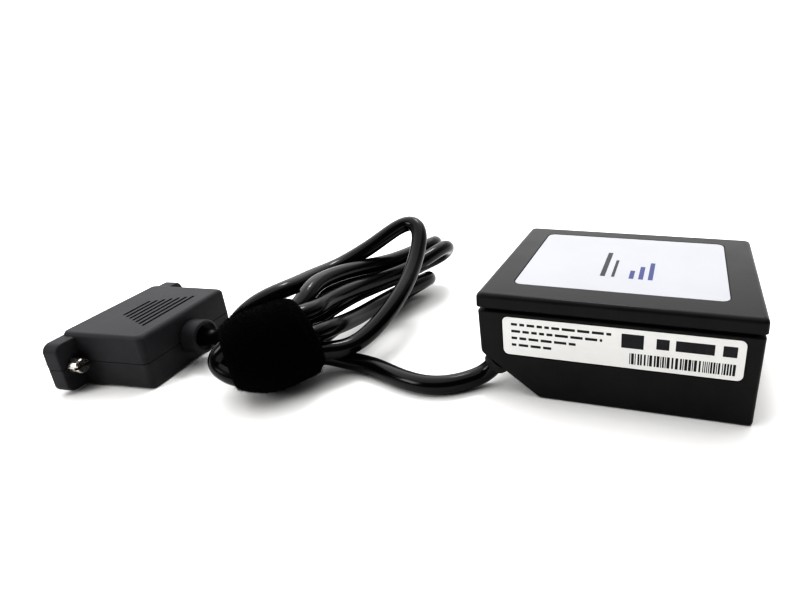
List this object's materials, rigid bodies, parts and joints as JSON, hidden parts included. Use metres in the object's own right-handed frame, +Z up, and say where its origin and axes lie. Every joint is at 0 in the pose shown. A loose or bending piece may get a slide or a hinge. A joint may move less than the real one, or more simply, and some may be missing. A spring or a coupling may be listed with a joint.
{
  "type": "fixed-mount bar-code scanner module",
  "caption": "Compact box-shaped optical scanner module with a reading window, a tied signal lead and a D-type plug.",
  "frame": {"origin": "middle of the module's base, on the surface it stands on", "axes": "+X towards the reading window's end, -Y towards the long side with the rating label, +Z up through the cover"},
  "size_m": [0.2301, 0.1232, 0.0404],
  "materials": {
    "housing_paint": "fine-textured satin black",
    "hood_plastic": "fine spark-eroded matte",
    "cable_jacket": "glossy black PVC",
    "hook_and_loop": "fuzzy loop pile",
    "seal_rubber": "matte",
    "label_film": "satin printed film",
    "window_red": "polished deep red",
    "lens_glass": "polished clear",
    "sensor_ceramic": "fired ceramic",
    "circuit_board": "solder-resist green",
    "black_plastic": "moulded matte",
    "white_plastic": "moulded nylon",
    "led_resin": "clear red resin",
    "nickel_steel": "nickel-plated",
    "insert_brass": "turned"
  },
  "bodies": {
    "root": {"base_housing": "housing_paint", "top_cover": "housing_paint", "cover_gasket": "seal_rubber", "cover_screw_1": "nickel_steel", "cover_screw_2": "nickel_steel", "cover_screw_3": "nickel_steel", "cover_screw_4": "nickel_steel", "board_screw_1": "nickel_steel", "board_screw_2": "nickel_steel", "board_screw_3": "nickel_steel", "board_screw_4": "nickel_steel", "mounting_insert_1": "insert_brass", "mounting_insert_2": "insert_brass", "mounting_insert_3": "insert_brass", "mounting_insert_4": "insert_brass", "top_label": "label_film", "side_label": "label_film", "reading_window": "window_red", "window_gasket": "seal_rubber", "optical_chassis": "black_plastic", "lens_barrel": "black_plastic", "lens_front_element": "lens_glass", "lens_rear_element": "lens_glass", "line_sensor": "sensor_ceramic", "sensor_board": "circuit_board", "led_board": "circuit_board", "led_1": "led_resin", "led_2": "led_resin", "led_3": "led_resin", "led_4": "led_resin", "led_5": "led_resin", "led_6": "led_resin", "light_lens_lower": "lens_glass", "light_lens_upper": "lens_glass", "main_board": "circuit_board", "processor_chip": "black_plastic", "power_inductor": "black_plastic", "smoothing_capacitor_1": "nickel_steel", "smoothing_capacitor_2": "nickel_steel", "board_header": "white_plastic", "harness_plug": "white_plastic", "inner_lead": "cable_jacket", "cable_gland": "seal_rubber", "lead_to_module": "cable_jacket", "cord_hank": "cable_jacket", "lead_to_plug": "cable_jacket", "cable_strap": "hook_and_loop", "hood_upper": "hood_plastic", "hood_lower": "hood_plastic", "cable_boss": "hood_plastic", "connector_shell": "nickel_steel", "pin_insert": "black_plastic", "cable_clamp": "nickel_steel"},
    "near_clip": {"jackscrew_near_clip": "nickel_steel"},
    "near_screw": {"jackscrew_near": "nickel_steel"},
    "far_clip": {"jackscrew_far_clip": "nickel_steel"},
    "far_screw": {"jackscrew_far": "nickel_steel"}
  },
  "joints": [
    {"name": "near_screw_slide", "type": "slide", "parent": "root", "child": "near_clip", "axis": [0.9957, 0.0932, 0], "range_m": [0, 0.0015]},
    {"name": "near_screw_spin", "type": "hinge", "parent": "near_clip", "child": "near_screw", "pos_m": [-0.17816, -0.06435, 0.00985], "axis": [0.9957, 0.0932, 0], "continuous": true},
    {"name": "far_screw_slide", "type": "slide", "parent": "root", "child": "far_clip", "axis": [0.9957, 0.0932, 0], "range_m": [0, 0.0015]},
    {"name": "far_screw_spin", "type": "hinge", "parent": "far_clip", "child": "far_screw", "pos_m": [-0.18254, -0.01751, 0.00985], "axis": [0.9957, 0.0932, 0], "continuous": true}
  ]
}
